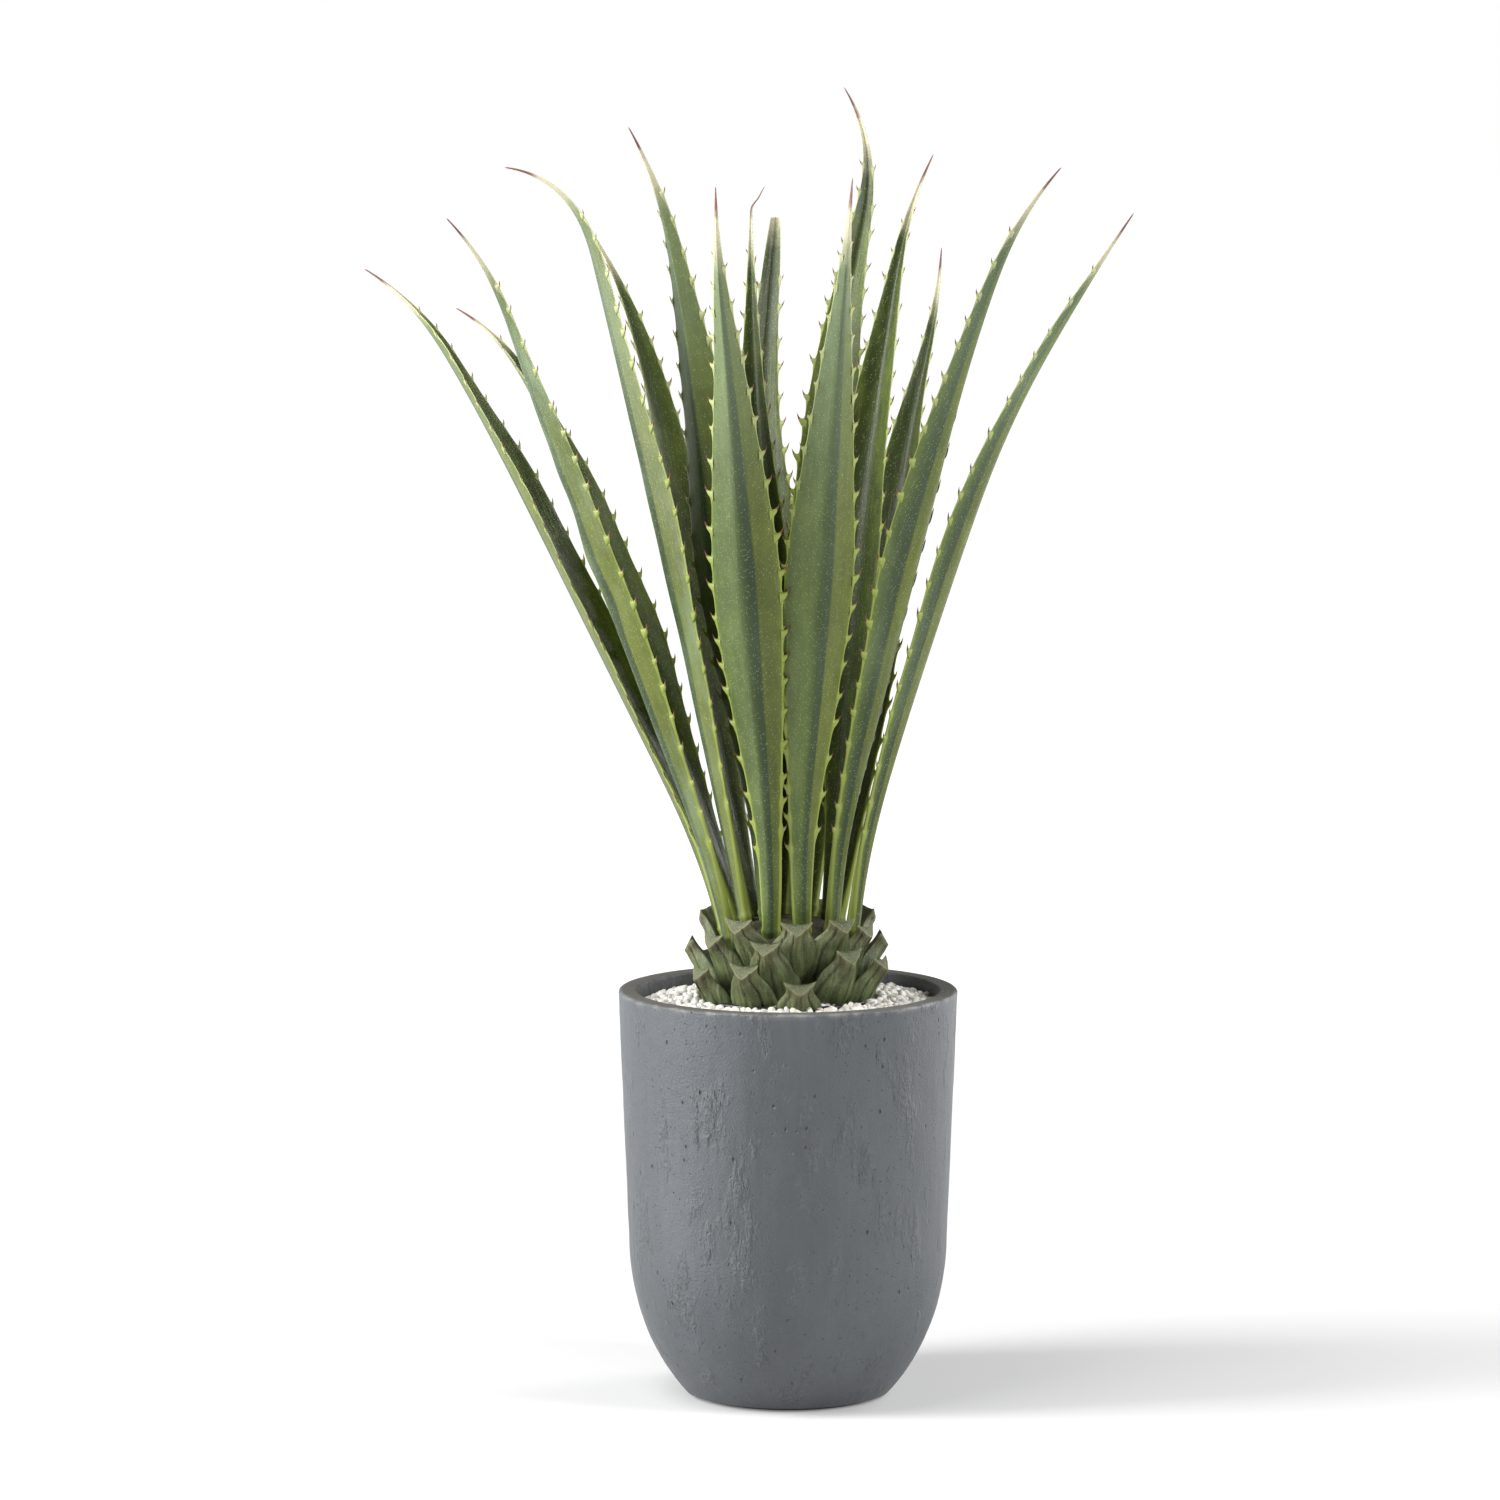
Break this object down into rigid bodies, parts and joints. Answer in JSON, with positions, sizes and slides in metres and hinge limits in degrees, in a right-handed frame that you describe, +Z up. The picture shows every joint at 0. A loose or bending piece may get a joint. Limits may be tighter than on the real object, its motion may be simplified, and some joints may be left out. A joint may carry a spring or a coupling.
{
  "type": "potted agave",
  "caption": "Tall agave with long toothed leaves on a short trunk ringed with cut stubs, in a round clay planter dressed with gravel.",
  "frame": {"origin": "middle of the planter's foot, on the surface that it stands on", "axes": "+Z up, +X to the right and +Y to the back, seen from the plant's front"},
  "size_m": [0.6742, 0.4818, 1.1526],
  "materials": {
    "clay": "matte fibre clay with fine pits and faint upright streaks",
    "soil": "dry and rough",
    "black_plastic": "satin moulded plastic",
    "gravel": "dry pale pebbles",
    "trunk_skin": "wrinkled matte skin",
    "stub_skin": "wrinkled satin skin with matte cut ends",
    "leaf_skin": "waxy satin skin with a pale bloom, yellow-green edges and brown points"
  },
  "bodies": {
    "root": {"planter_pot": "clay", "pot_filling": "soil", "nursery_pot": "black_plastic", "nursery_filling": "soil", "gravel": "gravel", "trunk": "trunk_skin", "leaf_stub_01": "stub_skin", "leaf_stub_02": "stub_skin", "leaf_stub_03": "stub_skin", "leaf_stub_04": "stub_skin", "leaf_stub_05": "stub_skin", "leaf_stub_06": "stub_skin", "leaf_stub_07": "stub_skin", "leaf_stub_08": "stub_skin", "leaf_stub_09": "stub_skin", "leaf_stub_10": "stub_skin", "leaf_stub_11": "stub_skin", "leaf_stub_12": "stub_skin", "leaf_stub_13": "stub_skin", "leaf_stub_14": "stub_skin", "leaf_stub_15": "stub_skin", "leaf_stub_16": "stub_skin", "leaf_stub_17": "stub_skin", "leaf_stub_18": "stub_skin", "leaf_stub_19": "stub_skin", "leaf_stub_20": "stub_skin", "leaf_stub_21": "stub_skin", "leaf_stub_22": "stub_skin", "leaf_stub_23": "stub_skin", "leaf_stub_24": "stub_skin", "leaf_01": "leaf_skin", "leaf_02": "leaf_skin", "leaf_03": "leaf_skin", "leaf_04": "leaf_skin", "leaf_05": "leaf_skin", "leaf_06": "leaf_skin", "leaf_07": "leaf_skin", "leaf_08": "leaf_skin", "leaf_09": "leaf_skin", "leaf_10": "leaf_skin", "leaf_11": "leaf_skin", "leaf_12": "leaf_skin", "leaf_13": "leaf_skin", "leaf_14": "leaf_skin", "leaf_15": "leaf_skin"}
  },
  "joints": []
}
